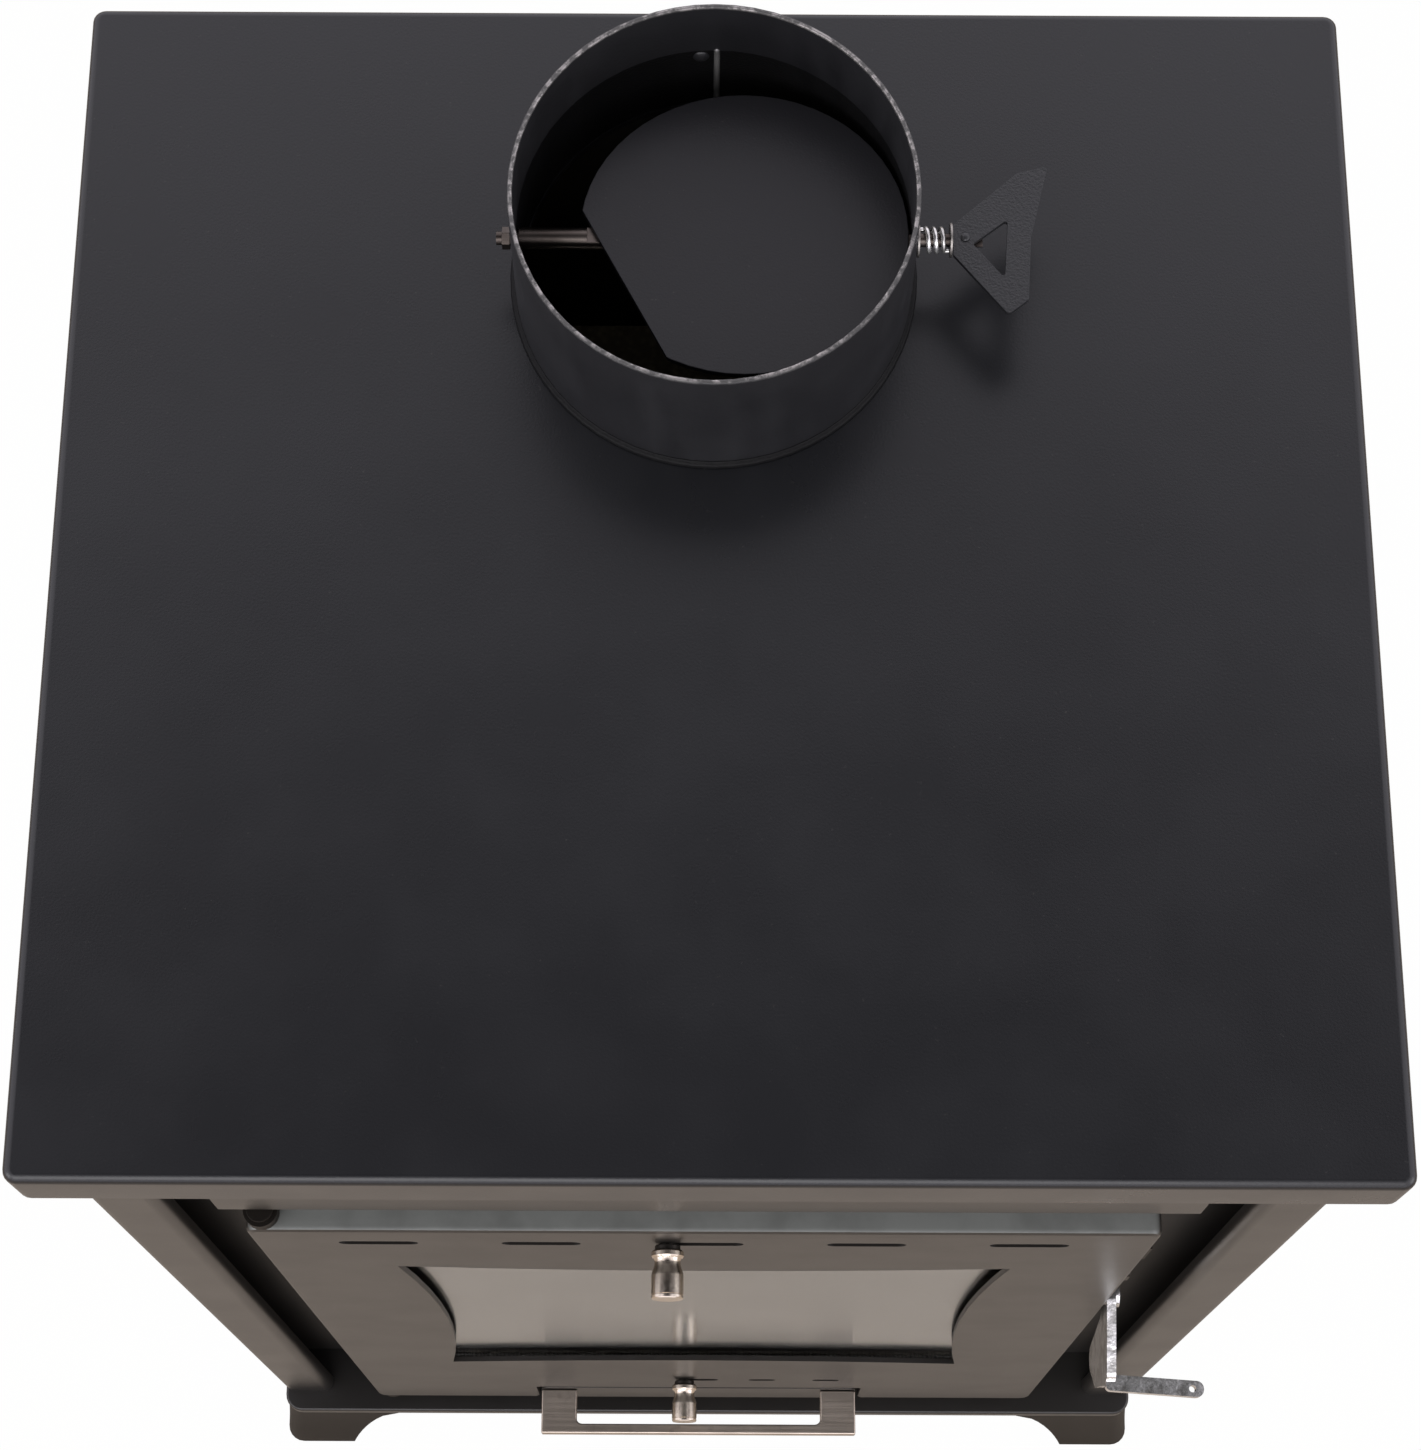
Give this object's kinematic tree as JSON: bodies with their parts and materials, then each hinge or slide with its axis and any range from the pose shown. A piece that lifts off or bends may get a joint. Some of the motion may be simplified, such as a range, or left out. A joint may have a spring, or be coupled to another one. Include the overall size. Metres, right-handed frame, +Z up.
{
  "type": "wood stove",
  "caption": "Box-shaped sheet-steel wood stove on flared bracket feet, with a glazed door, air sliders, swing latch, ash drawer and a flue collar with a butterfly damper.",
  "frame": {"origin": "centre of the footprint on the floor, at the middle of the bounding box", "axes": "+Z up, the door faces -Y, +X to the right of a person facing the door"},
  "size_m": [0.482, 0.4878, 0.8283],
  "materials": {
    "black_paint": "satin heat-proof paint",
    "recess_paint": "matt heat-proof paint",
    "bare_steel": "mill finish",
    "nickel": "satin nickel plate",
    "bright_plate": "bright plate",
    "cast_iron": "sand cast",
    "vermiculite": "pressed board",
    "fire_glass": "clear ceramic glass",
    "rope": "knitted glass fibre"
  },
  "bodies": {
    "casing": {"back_panel": "black_paint", "baffle_plate": "vermiculite", "base_plinth": "black_paint", "drawer_runner_left": "bare_steel", "drawer_runner_right": "bare_steel", "firebox_front": "recess_paint", "firebox_shell": "recess_paint", "flue_collar": "black_paint", "foot_bolt_front_left": "bare_steel", "foot_bolt_front_right": "bare_steel", "foot_bolt_rear_left": "bare_steel", "foot_bolt_rear_right": "bare_steel", "foot_front_left": "black_paint", "foot_front_right": "black_paint", "foot_rear_left": "black_paint", "foot_rear_right": "black_paint", "grate": "cast_iron", "header_strip": "black_paint", "hearth_plate": "recess_paint", "hinge_bracket_bottom": "recess_paint", "hinge_bracket_top": "recess_paint", "hinge_pin_bottom": "bare_steel", "hinge_pin_top": "bare_steel", "latch_keeper": "bright_plate", "lining_left": "vermiculite", "lining_rear": "vermiculite", "lining_right": "vermiculite", "log_guard": "cast_iron", "side_panel_left": "black_paint", "side_panel_right": "black_paint", "top_plate": "black_paint"},
    "door": {"door_shell": "black_paint", "glass_seal": "rope", "door_glass": "fire_glass", "glass_frame": "bare_steel", "rope_channel": "recess_paint", "door_rope": "rope", "hinge_bush_top": "recess_paint", "hinge_bush_bottom": "recess_paint", "upper_guide": "recess_paint", "lower_guide": "recess_paint", "latch_pin": "bright_plate"},
    "upper_slider": {"upper_shutter": "recess_paint", "upper_knob": "nickel"},
    "lower_slider": {"lower_shutter": "recess_paint", "lower_knob": "nickel"},
    "latch": {"latch_lever": "bright_plate"},
    "ash_drawer": {"ash_tray": "bare_steel", "ash_front": "black_paint", "ash_handle": "nickel"},
    "damper": {"damper_axle": "bare_steel", "damper_disc": "black_paint", "damper_spring": "bright_plate", "inner_washer": "bare_steel", "outer_washer": "bare_steel", "damper_handle": "black_paint", "handle_rivet": "bare_steel", "damper_nut": "bare_steel"}
  },
  "joints": [
    {"name": "door_hinge", "type": "hinge", "parent": "casing", "child": "door", "pos_m": [-0.1705, -0.2002, 0.365], "axis": [0, 0, -1], "range_deg": [0, 120]},
    {"name": "upper_air_slide", "type": "slide", "parent": "door", "child": "upper_slider", "axis": [1, 0, 0], "range_m": [0, 0.0262]},
    {"name": "lower_air_slide", "type": "slide", "parent": "door", "child": "lower_slider", "axis": [1, 0, 0], "range_m": [0, 0.014]},
    {"name": "latch_pivot", "type": "hinge", "parent": "door", "child": "latch", "pos_m": [0.17405, -0.199, 0.426], "axis": [1, 0, 0], "range_deg": [0, 28]},
    {"name": "ash_drawer_slide", "type": "slide", "parent": "casing", "child": "ash_drawer", "axis": [0, -1, 0], "range_m": [0, 0.25]},
    {"name": "damper_axle_turn", "type": "hinge", "parent": "casing", "child": "damper", "pos_m": [0, 0.129, 0.791], "axis": [-1, 0, 0], "range_deg": [0, 85]}
  ]
}
